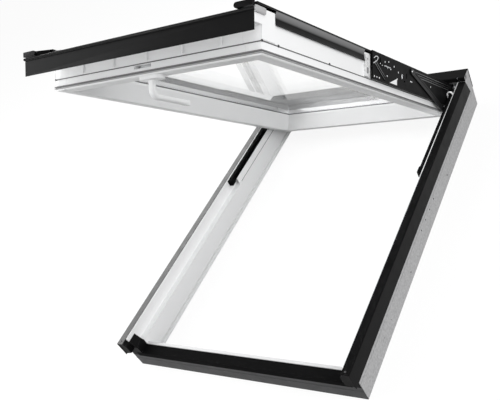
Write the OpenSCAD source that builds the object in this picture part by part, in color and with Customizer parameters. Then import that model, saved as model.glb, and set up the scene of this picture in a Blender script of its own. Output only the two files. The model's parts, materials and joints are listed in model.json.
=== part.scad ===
// Roof window with a white profile frame, black cladding and a glazed sash.
// The sash hangs on two arms that turn at the top of the frame, and it also tilts
// about its middle between those arms. It is drawn propped open.
// X runs across the window, Y up the roof slope and Z out of the roof.
// The room side of the frame lies on Z = 0 and the origin is under its middle.

/* [Frame] */
// Width over the frame profiles
frame_w = 780; // [640:10:1140]
// Length over the frame profiles, along the roof slope
frame_h = 1180; // [1100:10:1600]
// Room-side width of the frame stiles
stile_w = 45; // [42:1:60]
// Room-side width of the head and the sill
rail_w = 40; // [36:1:46]
// Thickness of the outer wall above the step
wall_w = 25; // [22:1:28]
// Height of the step that carries the hinges
step_z = 86; // [82:1:100]
// Height of the outer wall above the step
wall_rise = 42; // [40:1:60]
// Height of the sill
sill_z = 64; // [56:1:70]
// Height that the head stands above the outer wall
head_rise = 16; // [12:1:30]
// Width and depth of the groove for the room lining
lining_groove = 9; // [6:1:12]

/* [Cladding] */
// Thickness of the folded metal sheet
sheet = 1.5; // [1:0.1:2]
// Height of the cladding skirt on the outer side of the stiles
skirt_h = 55; // [30:1:70]
// Strip of white wall left bare beside the cladding
bare_wall = 3; // [2:0.5:6]
// Length that the stile cladding reaches past the sill
foot_len = 20; // [14:1:30]
// Slant of the upper end of the cladding skirt
skirt_slant = 20; // [0:1:30]
// Height of the dark apron on the front of the sill
apron_h = 52; // [40:1:54]
// Length that the hood reaches down over the hinges
hood_reach = 25; // [10:1:28]

/* [Sash] */
// Opening angle that the sash is drawn at
open_angle = 45; // [30:1:45]
// Width of the sash profiles at the glass
sash_rail_w = 52; // [46:1:70]
// Flat width of the sash profiles on the room side
room_face_w = 34; // [30:1:44]
// Height of the sash's room face above the frame's
sash_z = 10; // [6:1:16]
// Height of the sash profiles above the frame's step
sash_rise = 20; // [19:1:24]
// Gap between the sash ends and the head or sill
sash_gap_y = 10; // [9:1:14]
// Depth of the reveal from the room face to the glass seat
reveal_d = 56; // [44:1:58]
// Lap of the glass on its seat
glass_lap = 20; // [14:1:24]
// Thickness of each pane
pane_t = 4; // [3:0.5:6]
// Gap between the two panes
pane_gap = 16; // [10:1:18]
// Width of the metal spacer between the panes
spacer_w = 9; // [6:1:12]
// Overhang of the sash's lower rail in front of the sill
nose_out = 18; // [15:1:22]
// Height of the front face of the lower cover
cover_h = 42; // [34:1:46]

/* [Hardware] */
// Gap between the sash side and the arm
arm_gap = 7; // [6.5:0.5:9]
// Thickness of the arms
arm_t = 4; // [3:0.5:5]
// Thickness of the stays
stay_t = 2.7; // [2:0.1:4]
// Height of the hinge axis above the frame's step
hinge_rise = 18; // [16:1:20]
// Outer radius of the hinge eyes
hinge_r = 13; // [11:0.5:14]
// Diameter of the hinge pins
hinge_pin_d = 10; // [8:0.5:12]
// Diameter of the pivot pins in the middle of the sash
pivot_pin_d = 12; // [8:0.5:14]
// Height of the pivot axis below the top of the sash profiles
pivot_drop = 10; // [9:1:14]
// Length that the arms reach past the pivots
arm_tail = 52; // [45:1:70]
// Length of the stays between their pins
stay_len = 257; // [200:1:320]
// Distance of the open shoes from the hinge axis
shoe_back = 130; // [90:0.5:140]
// Width of the stays
stay_w = 18; // [12:1:20]
// Length of the guide channels
channel_len = 375; // [300:5:400]
// Height of the guide channels
channel_h = 18; // [16:1:20]
// Distance of the bracket screw holes from the frame's ends
bracket_in = 190; // [120:10:300]
// Distance between the two screw holes of a mounting bracket
bracket_pitch = 60; // [40:5:90]
// Diameter of the bracket screw holes
bracket_hole_d = 5; // [4:0.5:6]

/* [Handle] */
// Length of the grip from the handle's axis
grip_len = 118; // [90:1:130]
// Width of the grip
grip_w = 20; // [16:1:26]
// Thickness of the grip
grip_t = 12; // [9:0.5:14]
// Distance that the grip stands off the sash
grip_off = 38; // [30:1:50]
// Length of the handle's rose
rose_len = 72; // [60:1:90]
// Width of the handle's rose
rose_w = 28; // [26:1:34]
// Thickness of the handle's rose
rose_t = 8; // [6:0.5:10]
// Reach of the lock tongue past the sash
tongue_out = 20; // [16:1:22]

/* [Hidden] */
$fn = 48;
small_fn = 16;
running_gap = 0.05;
layer_gap = 0.3;
stay_gap = 1;
edge_chamfer = 3;

// Frame lines
fx = frame_w / 2;
fy = frame_h / 2;
in_x = fx - stile_w;
in_y = fy - rail_w;
wall_x = fx - wall_w;
wall_y = fy - wall_w;
wall_z = step_z + wall_rise;
head_z = wall_z + head_rise;
lip_w = 9;
lip_h = 4;
lining_z = 14;
skin_x = fx + sheet;
skin_z = wall_z + sheet;
hood_y = wall_y - hood_reach;
hood_lip = 14;
hood_back = 72;
drip_h = 16;
bracket_z = 34;
bracket_depth = 22;
strike_w = 60;
strike_edge = 10;
nail_d = 3;
nail_depth = 6;
nail_z = 24;
nail_in = 65;
mid_nail_z = 48;
mid_nail_pitch = 42;
apron_bead_z = apron_h * 0.6;
apron_bead_w = 4;
hood_notch_in = 24;
hood_notch_w = 4;
hood_notch_h = 6;

// Hinge, arm and stay layers, from the sash outwards
sash_gap_x = arm_gap + arm_t + stay_gap + stay_t + layer_gap;
sash_x = in_x - sash_gap_x;
sash_y = in_y - sash_gap_y;
arm_x0 = sash_x + arm_gap;
arm_x1 = arm_x0 + arm_t;
stay_x0 = arm_x1 + stay_gap;
stay_x1 = stay_x0 + stay_t;
hinge_back = 4;
hinge_y = wall_y - hinge_r - hinge_back;
hinge_z = step_z + hinge_rise;

// Sash lines
sash_in_x = sash_x - sash_rail_w;
sash_in_y = sash_y - sash_rail_w;
face_x = sash_x - room_face_w;
face_y = sash_y - room_face_w;
seat_lip = 6;
sash_top = step_z + sash_rise;
seat_z = sash_z + reveal_d;
seal_t = 2;
glass_x = sash_in_x + glass_lap;
glass_y = sash_in_y + glass_lap;
glass_z = seat_z + seal_t;
gap_z = glass_z + pane_t;
outer_z = gap_z + pane_gap;
glass_top = outer_z + pane_t;
rebate_gap = 3;
rebate_x = glass_x + rebate_gap;
rebate_y = glass_y + rebate_gap;
bead_w = 15;
nose_y = fy + nose_out;
nose_z = sill_z + 8;
nose_h = 11;
nose_run = nose_out + 42;
nose_lip = 10;
fold_z = nose_z + nose_h;
cover_x = wall_x - 3;
cover_z = fold_z - cover_h;
cover_lap = 4;
cover_t = 2;
cover_top = sash_top + cover_t;
rim_d = 7;
nose_low = cover_z + 4;
clad_x = sash_x + arm_gap - 1.5;
clad_in_x = sash_in_x + 6;
clad_top = sash_top + 8;
clad_lip = 4;
clad_hollow = 3.4;
clad_steps = 8;
clad_rise_x = sash_x - 28;
clad_rise_run = 14;
clad_skirt_z = sash_top - 26;
pivot_clear = 112;
clad_end_gap = 6;
pivot_z = sash_top - pivot_drop;
housing_len = 80;
housing_d = 18;
housing_drop = 20;
housing_play = 0.2;
seal_z = sash_z + 27;
seal_h = 4;
room_seal_z = sash_z + 4;
room_seal_h = 8;

// Arm cladding lies just over the sash profiles
arm_top = clad_top - sheet;
arm_clad_z = sash_top + 3;
arm_low = sash_z + 29;
arm_bend = 40;
arm_clad_end = hinge_y - 16;
arm_rib_h = 0.6;
arm_rib_w = 1.6;
stay_pin_z = step_z + 14;
stay_pin_d = 8;

// Guide channel on the inner face of the outer wall
channel_head_gap = 43;
channel_y1 = hinge_y - channel_head_gap;
channel_y0 = channel_y1 - channel_len;
channel_z0 = step_z + 22;
channel_d = 13;
channel_wall = 1.5;
channel_foot = 26;
channel_swell = 3;
channel_x0 = wall_x - channel_d;
shoe_z = channel_z0 + channel_h / 2;
shoe_len = 40;
shoe_play = 0.4;
hinge_cover_t = 2;
clip_d = 20;
clip_w = 6;
clip_t = 3;
clip_low = 14;
clip_y = channel_y1 - 30;
cover_screw_in = 25;
bracket_len = 34;
bracket_y0 = hinge_y - bracket_len;

// Handle
handle_y = -(sash_y - room_face_w / 2 - 1);
spindle_w = 7;
tongue_z = sash_z + 20;
tongue_h = 6;
tongue_w = 14;
tongue_len = sash_y + handle_y + tongue_out;
mortise_gap = 2;
selector_y = -(arm_tail + 18);
selector_w = 24;
selector_z = seal_z + seal_h + layer_gap;
selector_h = sash_top - selector_z - 7;
selector_slot_w = 9;
selector_back = 1;
selector_slot_h = 40;
slider_h = 15;
slider_gap = 0.4;
clad_y0 = -fy + 30;
clad_y1 = pivot_clear - clad_end_gap;
skirt_y1 = selector_y - selector_w / 2 - 1;
corner_y1 = -sash_y + 48;

// Side view of the open stay: its pin lies on the arm where a stay of this length meets it from the shoe
shoe_y = hinge_y - shoe_back;
shoe_rise = shoe_z - hinge_z;
pin_drop = stay_pin_z - hinge_z;
shoe_along = shoe_back * cos(open_angle) + shoe_rise * sin(open_angle);
shoe_off = pin_drop + shoe_back * sin(open_angle) - shoe_rise * cos(open_angle);
stay_reach = shoe_along + sqrt(stay_len * stay_len - shoe_off * shoe_off);
pin_y = hinge_y - stay_reach * cos(open_angle) + pin_drop * sin(open_angle);
pin_z = hinge_z + stay_reach * sin(open_angle) + pin_drop * cos(open_angle);
stay_turn = atan2(shoe_z - pin_z, shoe_y - pin_y);

white = "whitesmoke";
black = [0.15, 0.15, 0.16];
steel = "silver";
rubber = [0.3, 0.3, 0.31];
grey = [0.45, 0.45, 0.46];
glass = [0.85, 0.92, 0.95, 0.4];

// A profile drawn in X and Z, carried along Y
module along_y(y0, y1) {
    translate([0, y1, 0]) rotate([90, 0, 0]) linear_extrude(y1 - y0) children();
}

// A profile drawn in Y and Z, carried along X
module along_x(x0, x1) {
    translate([x0, 0, 0]) rotate([90, 0, 90]) linear_extrude(x1 - x0) children();
}

// A box from its lowest to its highest corner
module box(low, high) {
    translate(low) cube(high - low);
}

// A round bar along X
module rod_x(x0, x1, y, z, d) {
    translate([x0, y, z]) rotate([0, 90, 0]) cylinder(h = x1 - x0, d = d);
}

// The left-hand copy of a right-hand piece
module left() {
    mirror([1, 0, 0]) children();
}

// Turns what is drawn closed about the hinge axis to its open place
module opened() {
    translate([0, hinge_y, hinge_z]) rotate([-open_angle, 0, 0])
        translate([0, -hinge_y, -hinge_z]) children();
}

// A flat ring between two rectangles, lying between two heights
module ring(out_x, out_y, in_half_x, in_half_y, z0, z1) {
    difference() {
        box([-out_x, -out_y, z0], [out_x, out_y, z1]);
        box([-in_half_x, -in_half_y, z0 - 1], [in_half_x, in_half_y, z1 + 1]);
    }
}

// A rounded slot outline
module stadium(length, width) {
    square([length - width, width], center = true);
    for (s = [-1, 1]) translate([s * (length - width) / 2, 0]) circle(d = width);
}

// Frame stile: a stepped profile with a lining groove and bracket screw holes
module frame_stile() {
    difference() {
        union() {
            along_y(-fy, fy) polygon([
                [fx, 0], [in_x + edge_chamfer, 0], [in_x, edge_chamfer], [in_x, step_z],
                [wall_x, step_z], [wall_x, wall_z], [fx, wall_z]]);
            box([wall_x, wall_y, wall_z - 1], [fx, fy, head_z]);
        }
        along_y(-in_y, in_y) polygon([
            [in_x - 1, lining_z], [in_x + lining_groove, lining_z],
            [in_x + lining_groove, lining_z + lining_groove], [in_x - 1, lining_z + lining_groove]]);
        for (s = [-1, 1], k = [-0.5, 0.5])
            rod_x(fx - bracket_depth, fx + 1, s * (fy - bracket_in) + k * bracket_pitch,
                bracket_z, bracket_hole_d);
        for (s = [-1, 1], y = [fy / 3, fy - nail_in]) nail_hole(s * y, nail_z);
        for (k = [-1 : 1]) nail_hole(k * mid_nail_pitch, mid_nail_z);
    }
}

// Small hole in the outer side of a stile
module nail_hole(y, z) {
    rod_x(fx - nail_depth, fx + 1, y, z, nail_d, $fn = small_fn);
}

module frame_left_stile() { color(white) left() frame_stile(); }
module frame_right_stile() { color(white) frame_stile(); }

// Head: the stepped profile between the stiles, with a wall that carries the hood
module frame_head() {
    color(white) difference() {
        union() {
            along_x(-in_x, in_x) polygon([
                [fy, 0], [in_y + edge_chamfer, 0], [in_y, edge_chamfer], [in_y, step_z], [fy, step_z]]);
            box([-wall_x, wall_y, step_z], [wall_x, fy, head_z]);
        }
        box([-in_x, in_y - 1, lining_z], [in_x, in_y + lining_groove, lining_z + lining_groove]);
    }
}

// Sill: lower than the stiles, with an upstand and a mortise for the lock
module frame_sill() {
    color(white) difference() {
        along_x(-in_x, in_x) polygon([
            [-fy, 0], [-in_y - edge_chamfer, 0], [-in_y, edge_chamfer], [-in_y, sill_z + lip_h],
            [-in_y - lip_w, sill_z + lip_h], [-in_y - lip_w, sill_z], [-fy, sill_z]]);
        mortise(0);
    }
}

// Space for the lock tongue in the sill, widened by a margin
module mortise(margin) {
    half = tongue_w / 2 + mortise_gap + margin;
    box([-half, -(sash_y + tongue_out + mortise_gap + 2), tongue_z - mortise_gap - margin],
        [half, -in_y + 3, tongue_z + tongue_h + mortise_gap + margin]);
}

// Folded sheet over the outer wall of a stile, with a slanted upper end
module stile_cladding() {
    color(black) difference() {
        along_y(-fy - foot_len, hood_y + skirt_slant) polygon([
            [wall_x + bare_wall, wall_z], [fx, wall_z], [fx, skin_z - skirt_h], [skin_x, skin_z - skirt_h],
            [skin_x, skin_z - 2], [skin_x - 2, skin_z], [wall_x + bare_wall, skin_z]]);
        along_x(wall_x, skin_x + 1) polygon([
            [hood_y, skin_z + 1], [hood_y, skin_z - 3], [hood_y + skirt_slant, skin_z - skirt_h - 1],
            [hood_y + skirt_slant + 1, skin_z - skirt_h - 1], [hood_y + skirt_slant + 1, skin_z + 1]]);
    }
}

module left_stile_cladding() { left() stile_cladding(); }
module right_stile_cladding() { stile_cladding(); }

// Folded sheet over the sill, with a drip edge in front of the apron
module sill_cladding() {
    color(black) {
        along_x(-in_x, in_x) polygon([
            [-fy - 2 * sheet, sill_z], [-in_y - lip_w, sill_z], [-in_y - lip_w, sill_z + sheet],
            [-fy - 2 * sheet, sill_z + sheet]]);
        box([-wall_x, -fy - 2 * sheet, sill_z + sheet - drip_h], [wall_x, -fy - sheet, sill_z + sheet]);
    }
}

// Dark plate on the front of the sill, stiffened by a bead
module sill_apron() {
    color(grey) along_x(-fx, fx) polygon([
        [-fy, 0], [-fy, apron_h], [-fy - sheet, apron_h], [-fy - sheet, apron_bead_z + apron_bead_w],
        [-fy - 2 * sheet, apron_bead_z + apron_bead_w / 2], [-fy - sheet, apron_bead_z], [-fy - sheet, 0]]);
}

// Head cladding: a folded cap that reaches down over the hinges, notched at its corners
module hood() {
    color(black) difference() {
        along_x(-skin_x, skin_x) polygon([
            [fy, hood_back], [fy + sheet, hood_back], [fy + sheet, head_z + sheet - 2],
            [fy + sheet - 2, head_z + sheet], [hood_y + 2, head_z + sheet], [hood_y, head_z + sheet - 2],
            [hood_y, head_z - hood_lip], [hood_y + sheet, head_z - hood_lip], [hood_y + sheet, head_z],
            [fy, head_z]]);
        for (s = [-1, 1]) translate([s * (skin_x - hood_notch_in), hood_y, head_z + sheet])
            cube([hood_notch_w, 2 * hood_notch_h, 2 * hood_notch_h], center = true);
    }
}

// Plug that closes the lower end of a stile cladding
module corner_shoe() {
    color(black) along_y(-fy - foot_len + sheet, -fy) polygon([
        [wall_x - 2, step_z - 2], [fx, step_z - 8], [fx, wall_z],
        [wall_x + 8, wall_z], [wall_x - 2, wall_z - 14]]);
}

module left_corner_shoe() { left() corner_shoe(); }
module right_corner_shoe() { corner_shoe(); }

// C-shaped guide for a stay shoe, with a wider foot
module guide_channel() {
    web_x = wall_x - channel_wall;
    low = channel_z0 + channel_wall;
    high = channel_z0 + channel_h - channel_wall;
    color(black) {
        along_y(channel_y0, channel_y1) polygon([
            [wall_x, channel_z0], [wall_x, high + channel_wall], [channel_x0, high + channel_wall],
            [channel_x0, high], [web_x, high], [web_x, low], [channel_x0, low], [channel_x0, channel_z0]]);
        along_x(channel_x0 - channel_swell, wall_x) polygon([
            [channel_y0 - channel_foot, channel_z0 - channel_swell],
            [channel_y0 - 2 * channel_swell, channel_z0 - channel_swell], [channel_y0, channel_z0],
            [channel_y0, high + channel_wall], [channel_y0 - channel_foot, high + channel_wall]]);
    }
}

module left_channel() { left() guide_channel(); }
module right_channel() { guide_channel(); }

// White angle strip over the step and the lower wall, and a hooked clip that stands on the channel
module hinge_cover() {
    color(white) {
        along_y(channel_y0 + 2, bracket_y0 - 2) polygon([
            [in_x + 1, step_z], [wall_x, step_z], [wall_x, channel_z0 - 1],
            [wall_x - hinge_cover_t, channel_z0 - 1], [wall_x - hinge_cover_t, step_z + hinge_cover_t],
            [in_x + 1, step_z + hinge_cover_t]]);
        along_y(clip_y, clip_y + clip_w)
            translate([wall_x - clip_d / 2, channel_z0 + channel_h]) hook_outline();
    }
}

// An arch on one short leg, with a longer end that hangs down in front of the channel
module hook_outline() {
    leg = clip_t;
    translate([0, leg]) difference() {
        circle(d = clip_d);
        circle(d = clip_d - 2 * clip_t);
        translate([-clip_d, -2 * clip_d]) square(2 * clip_d);
    }
    translate([clip_d / 2 - clip_t, 0]) square([clip_t, leg]);
    translate([-clip_d / 2, -clip_low]) square([clip_t, leg + clip_low]);
}

module left_hinge_cover() { left() hinge_cover(); }
module right_hinge_cover() { hinge_cover(); }

// Steel bracket on the step: a foot plate and an ear with the hinge bore
module hinge_bracket() {
    ear_x = in_x + 2;
    ear_t = 4;
    foot_t = 3;
    color(steel) difference() {
        union() {
            box([ear_x, bracket_y0, step_z], [wall_x, wall_y, step_z + foot_t]);
            along_x(ear_x, ear_x + ear_t) polygon([
                [bracket_y0, step_z], [wall_y, step_z],
                [hinge_y + hinge_r, hinge_z], [hinge_y - hinge_r, hinge_z]]);
            rod_x(ear_x, ear_x + ear_t, hinge_y, hinge_z, 2 * hinge_r);
        }
        rod_x(ear_x - 1, ear_x + ear_t + 1, hinge_y, hinge_z, hinge_pin_d);
    }
}

module left_hinge_bracket() { left() hinge_bracket(); }
module right_hinge_bracket() { hinge_bracket(); }

// Hinge pins, held in the bracket ears, with a head behind each ear
module hinge_pin() {
    rod_x(arm_x0 - 1, in_x + 6, hinge_y, hinge_z, hinge_pin_d);
    rod_x(in_x + 6, in_x + 9, hinge_y, hinge_z, hinge_pin_d + 4);
}

module hinge_pins() {
    color(steel) {
        hinge_pin();
        left() hinge_pin();
    }
}

// Steel plate around the lock mortise on the sill's inner face
module strike_plate() {
    color(steel) difference() {
        box([-strike_w / 2, -in_y, tongue_z - strike_edge],
            [strike_w / 2, -in_y + sheet, tongue_z + tongue_h + strike_edge]);
        mortise(0);
    }
}

// Screw heads on the frame: hinge covers and the feet of the cladding
module frame_screws() {
    head_d = 6;
    head_h = 1.2;
    module one_side() {
        for (y = [channel_y0 + cover_screw_in, bracket_y0 - 2 * cover_screw_in])
            translate([(in_x + wall_x) / 2, y, step_z + hinge_cover_t]) cylinder(h = head_h, d = head_d);
        translate([(wall_x + skin_x) / 2, -fy - foot_len / 2, skin_z]) cylinder(h = head_h, d = head_d);
    }
    color(steel) {
        one_side();
        left() one_side();
    }
}

// Arm: a flat bar from the hinge eye to just past the pivot, deepest along the sash
module arm() {
    color(black) opened() difference() {
        union() {
            along_x(arm_x0, arm_x1) polygon([
                [hinge_y - arm_bend, arm_low], [-arm_tail, arm_low], [-arm_tail, arm_top],
                [hinge_y - hinge_r - 3, arm_top], [hinge_y, hinge_z + hinge_r],
                [hinge_y, hinge_z - hinge_r], [hinge_y - hinge_r, hinge_z - hinge_r]]);
            rod_x(arm_x0, arm_x1, hinge_y, hinge_z, 2 * hinge_r);
            arm_ribs();
            catch_lever();
        }
        rod_x(arm_x0 - 1, arm_x1 + 1, hinge_y, hinge_z, hinge_pin_d + 2 * running_gap);
        rod_x(arm_x0 - 1, arm_x1 + 3, 0, pivot_z, pivot_pin_d);
        arm_windows();
    }
}

// Thin ribs that stiffen the arm: a pair behind the stay and one along the lower edge
module arm_ribs() {
    rib_y0 = hinge_y - stay_reach + stay_w;
    rib_y1 = hinge_y - arm_bend;
    for (z = [stay_pin_z - 3, stay_pin_z + 3])
        box([arm_x1 - 1, rib_y0, z - arm_rib_w / 2], [arm_x1 + arm_rib_h, rib_y1, z + arm_rib_w / 2]);
    box([arm_x1 - 1, rib_y0, arm_low + 2 * arm_rib_w],
        [arm_x1 + arm_rib_h, rib_y1, arm_low + 3 * arm_rib_w]);
}

// Lever of the pivot catch, slanting down beside the pivot, with a ring around the pin
module catch_lever() {
    lever_t = 1.6;
    lever_w = 10;
    lever_len = 84;
    lever_slope = -30;
    ring_t = 0.8;
    along_x(arm_x1 - 1, arm_x1 + lever_t) translate([lever_w - arm_tail, pivot_z - lever_w])
        rotate(lever_slope) translate([lever_len / 2 - lever_w / 2, 0]) stadium(lever_len, lever_w);
    rod_x(arm_x1 - 1, arm_x1 + ring_t, 0, pivot_z, pivot_pin_d + 18);
}

// Cut-outs of the arm: a row of holes, a wedge-shaped window and two slots
module arm_windows() {
    hole_d = 5;
    window_y = 52;
    window_len = 50;
    window_h = 19;
    slot_w = 5;
    module cut() { along_x(arm_x0 - 1, arm_x1 + 3) children(); }
    for (k = [0 : 2])
        cut() translate([(3 * k + 2) * hole_d - arm_tail, arm_low + 1.6 * hole_d])
            circle(d = hole_d, $fn = small_fn);
    cut() translate([window_y, arm_low + slot_w])
        polygon([[0, 0], [window_len, 0], [window_len, window_h]]);
    cut() translate([window_y + 2.3 * window_len, stay_pin_z - window_h])
        square([slot_w, 3 * slot_w], center = true);
    cut() translate([window_y + 2 * window_len, arm_low + window_h + slot_w])
        stadium(2 * slot_w, slot_w, $fn = small_fn);
}

module left_arm() { left() arm(); }
module right_arm() { arm(); }

// Cladding on an arm: narrow beside the pivot, then wide over the upper half of the sash
module arm_cladding() {
    color(black) opened() {
        box([arm_x0, -arm_tail, arm_top], [arm_x1, pivot_clear + sheet, clad_top]);
        along_y(pivot_clear, arm_clad_end) folded_top(arm_clad_z, arm_x1);
    }
}

// Folded upper face of a cladding: flat beside the glass, then a rise to the outer edge
module folded_top(low, outer_x) {
    rise_x = clad_rise_x + clad_rise_run;
    polygon([
        [clad_in_x, low], [clad_in_x, low + sheet], [clad_rise_x, low + sheet], [rise_x, clad_top],
        [outer_x, clad_top], [outer_x, clad_top - sheet], [rise_x + 1, clad_top - sheet],
        [clad_rise_x + 1, low]]);
}

module left_arm_cladding() { left() arm_cladding(); }
module right_arm_cladding() { arm_cladding(); }

// Folded cover over the top rail of the sash, which ties the two arms together
module top_cover() {
    color(black) opened() along_x(-clad_in_x, clad_in_x) polygon([
        [sash_in_y + 6, arm_clad_z], [sash_in_y + 6, arm_clad_z + sheet], [sash_y + 4, arm_clad_z + sheet],
        [sash_y + 4, sash_top - 14], [sash_y + 4 - sheet, sash_top - 14], [sash_y + 4 - sheet, arm_clad_z]]);
}

// Rivet heads along the arms and the pins that carry the stays
module arm_rivets() {
    head_h = 0.8;
    head_d = 5;
    back_y = hinge_y - 0.57 * stay_reach;
    places = [[24, 0], [47, 4], [40, -13], [60, -14], [82, -3], [110, -14], [102, -34], [37, -36]];
    module head(y, z) { rod_x(arm_x1, arm_x1 + head_h, y, z, head_d, $fn = small_fn); }
    module one_side() {
        for (p = places) head(p[0], pivot_z + p[1]);
        for (k = [-1, 1]) head(back_y, (arm_low + pivot_z) / 2 + 2 * k * head_d);
        rod_x(arm_x1, stay_x1 + 1, hinge_y - stay_reach, stay_pin_z, stay_pin_d);
    }
    color(steel) opened() {
        one_side();
        left() one_side();
    }
}

// Pivot pins, fast in the arms, that turn in the sash's housings
module pivot_pin() {
    rod_x(sash_x - 8, arm_x1 + 0.8, 0, pivot_z, pivot_pin_d);
    rod_x(arm_x1 + 0.8, arm_x1 + 2.4, 0, pivot_z, pivot_pin_d + 4);
}

module pivot_pins() {
    color(steel) opened() {
        pivot_pin();
        left() pivot_pin();
    }
}

// Stay: a flat strut with round ends and a long groove, from the pin on the arm down to the shoe
module stay() {
    groove_d = 1;
    color(grey) translate([stay_x0, pin_y, pin_z]) rotate([stay_turn, 0, 0]) difference() {
        rotate([90, 0, 90]) linear_extrude(stay_t)
            translate([stay_len / 2, 0]) stadium(stay_len + stay_w, stay_w);
        translate([stay_t - groove_d, 0, 0]) rotate([90, 0, 90]) linear_extrude(stay_t)
            translate([stay_len / 2, 0]) stadium(stay_len - 2 * stay_w, stay_w / 2);
        translate([-1, 0, 0]) rotate([0, 90, 0]) cylinder(h = stay_t + 2, d = stay_pin_d + 2 * running_gap);
    }
}

module left_stay() { left() stay(); }
module right_stay() { stay(); }

// Shoe that runs in the channel, with a stud towards the end of the stay
module stay_shoe() {
    inset = channel_wall + shoe_play;
    color(grey) {
        box([channel_x0 + 1, shoe_y - shoe_len / 2, channel_z0 + inset],
            [wall_x - inset, shoe_y + shoe_len / 2, channel_z0 + channel_h - inset]);
        rod_x(stay_x1 + layer_gap, channel_x0 + 2, shoe_y, shoe_z, stay_pin_d);
    }
}

module left_shoe() { left() stay_shoe(); }
module right_shoe() { stay_shoe(); }

// Sash stile: rebated for the glass and pocketed for the pivot housing
module sash_stile() {
    color(white) opened() difference() {
        stile_bar();
        housing_space(housing_play);
    }
}

// Sash profile with a reveal that splays towards the room
module stile_bar() {
    along_y(-sash_y, sash_y) polygon([
        [face_x, sash_z], [sash_x - edge_chamfer, sash_z], [sash_x, sash_z + edge_chamfer],
        [sash_x, sash_top], [rebate_x, sash_top], [rebate_x, seat_z], [sash_in_x, seat_z],
        [sash_in_x, seat_z - seat_lip]]);
}

// The same profile for the rails, cut to meet the stiles
module rail_bar() {
    difference() {
        along_x(-face_x, face_x) polygon([
            [face_y, sash_z], [sash_y - edge_chamfer, sash_z], [sash_y, sash_z + edge_chamfer],
            [sash_y, sash_top], [rebate_y, sash_top], [rebate_y, seat_z], [sash_in_y, seat_z],
            [sash_in_y, seat_z - seat_lip]]);
        stile_bar();
        left() stile_bar();
    }
}

module sash_left_stile() { left() sash_stile(); }
module sash_right_stile() { sash_stile(); }

// Space of the pivot housing, widened by a margin
module housing_space(margin) {
    half = housing_len / 2 + margin;
    box([sash_x - housing_d - margin, -half, pivot_z - housing_drop - margin],
        [sash_x + arm_gap - 1, half, sash_top + margin]);
}

module sash_top_rail() {
    color(white) opened() rail_bar();
}

// Lower rail: the same rebate, with a nose that reaches over the sill and a slot for the lock
module sash_bottom_rail() {
    color(white) opened() difference() {
        union() {
            mirror([0, 1, 0]) rail_bar();
            along_x(-sash_x, sash_x) polygon([
                [-sash_y, nose_z], [-nose_y + nose_lip, nose_z], [-nose_y + nose_lip, nose_low],
                [-nose_y, nose_low], [-nose_y, fold_z], [-nose_y + nose_run, sash_top],
                [-sash_y, sash_top]]);
        }
        box([-tongue_len - 4, -sash_y - 1, tongue_z - 1],
            [tongue_w, handle_y + tongue_w, tongue_z + tongue_h + 1]);
        translate([0, handle_y, sash_z - 1]) cylinder(h = tongue_z - sash_z + 2, d = 2 * spindle_w);
    }
}

module inner_pane() {
    color(glass) opened() box([-glass_x, -glass_y, glass_z], [glass_x, glass_y, gap_z]);
}

module outer_pane() {
    color(glass) opened() box([-glass_x, -glass_y, outer_z], [glass_x, glass_y, glass_top]);
}

module glass_spacer() {
    edge = 3;
    color(steel) opened() ring(glass_x - edge, glass_y - edge,
        glass_x - edge - spacer_w, glass_y - edge - spacer_w, gap_z, outer_z);
}

module inner_glazing_seal() {
    color(rubber) opened() ring(glass_x, glass_y, sash_in_x - 1, sash_in_y - 1, seat_z, glass_z);
}

// Black bead that holds the glass in its rebate
module outer_glazing_bead() {
    color(black) opened() ring(rebate_x, rebate_y,
        rebate_x - bead_w, rebate_y - bead_w, glass_top, sash_top);
}

module sash_seal() {
    color(rubber) opened() ring(sash_x + 2, sash_y + 2, sash_x, sash_y, seal_z, seal_z + seal_h);
}

module room_seal() {
    color(grey) opened() ring(sash_x + 3, sash_y + 3,
        sash_x, sash_y, room_seal_z, room_seal_z + room_seal_h);
}

// Sheet over the nose of the lower rail: a front plate with a rolled rim, and a sloping top up to the glass
module bottom_cover() {
    color(black) opened() {
        box([-cover_x, -nose_y - sheet, cover_z], [cover_x, -nose_y, fold_z]);
        rod_x(-cover_x, cover_x, -nose_y - rim_d / 2, fold_z, rim_d, $fn = small_fn);
        along_x(-sash_x, sash_x) polygon([
            [-nose_y - sheet, fold_z], [-nose_y, fold_z], [clad_y0 - 1, slope_z(clad_y0 - 1) + running_gap],
            [clad_y0 - 1, slope_z(clad_y0 - 1) + cover_t], [-nose_y - sheet, fold_z + cover_t]]);
        along_x(-clad_in_x, clad_in_x) polygon([
            [clad_y0 - 2, slope_z(clad_y0 - 2) + running_gap], [-nose_y + nose_run, sash_top + running_gap],
            [-rebate_y + cover_lap, sash_top], [-rebate_y + cover_lap, cover_top],
            [-nose_y + nose_run, cover_top], [clad_y0 - 2, slope_z(clad_y0 - 2) + cover_t]]);
    }
}

// Height of the nose's sloping top
function slope_z(y) = fold_z + (sash_top - fold_z) * (y + nose_y) / nose_run;

// Small clips that hold the cover under the nose
module cover_clips() {
    count = 5;
    width = 6;
    out = 3;
    pitch = 2 * sash_in_x / count;
    color(white) opened() for (k = [0 : count - 1])
        translate([(k - (count - 1) / 2) * pitch, 0, 0])
            box([-width / 2, -sash_y - out, seal_z + seal_h + out], [width / 2, -sash_y, nose_z]);
}

// Folded sheet on a sash stile up to the arm cladding, with a hollowed skirt from the corner cover on
module sash_cladding() {
    skirt_top = clad_top - clad_lip;
    color(black) opened() {
        along_y(clad_y0, clad_y1) folded_top(sash_top, clad_x);
        along_y(clad_y0, clad_y1) translate([clad_x - sheet, skirt_top]) square([sheet, clad_lip]);
        along_y(corner_y1 + 1, skirt_y1) polygon(concat(
            [[clad_x - sheet, clad_top], [clad_x, clad_top]],
            [for (t = [0 : clad_steps]) skirt_point(t, 0)],
            [for (t = [clad_steps : -1 : 0]) skirt_point(t, sheet)]));
    }
}

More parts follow.
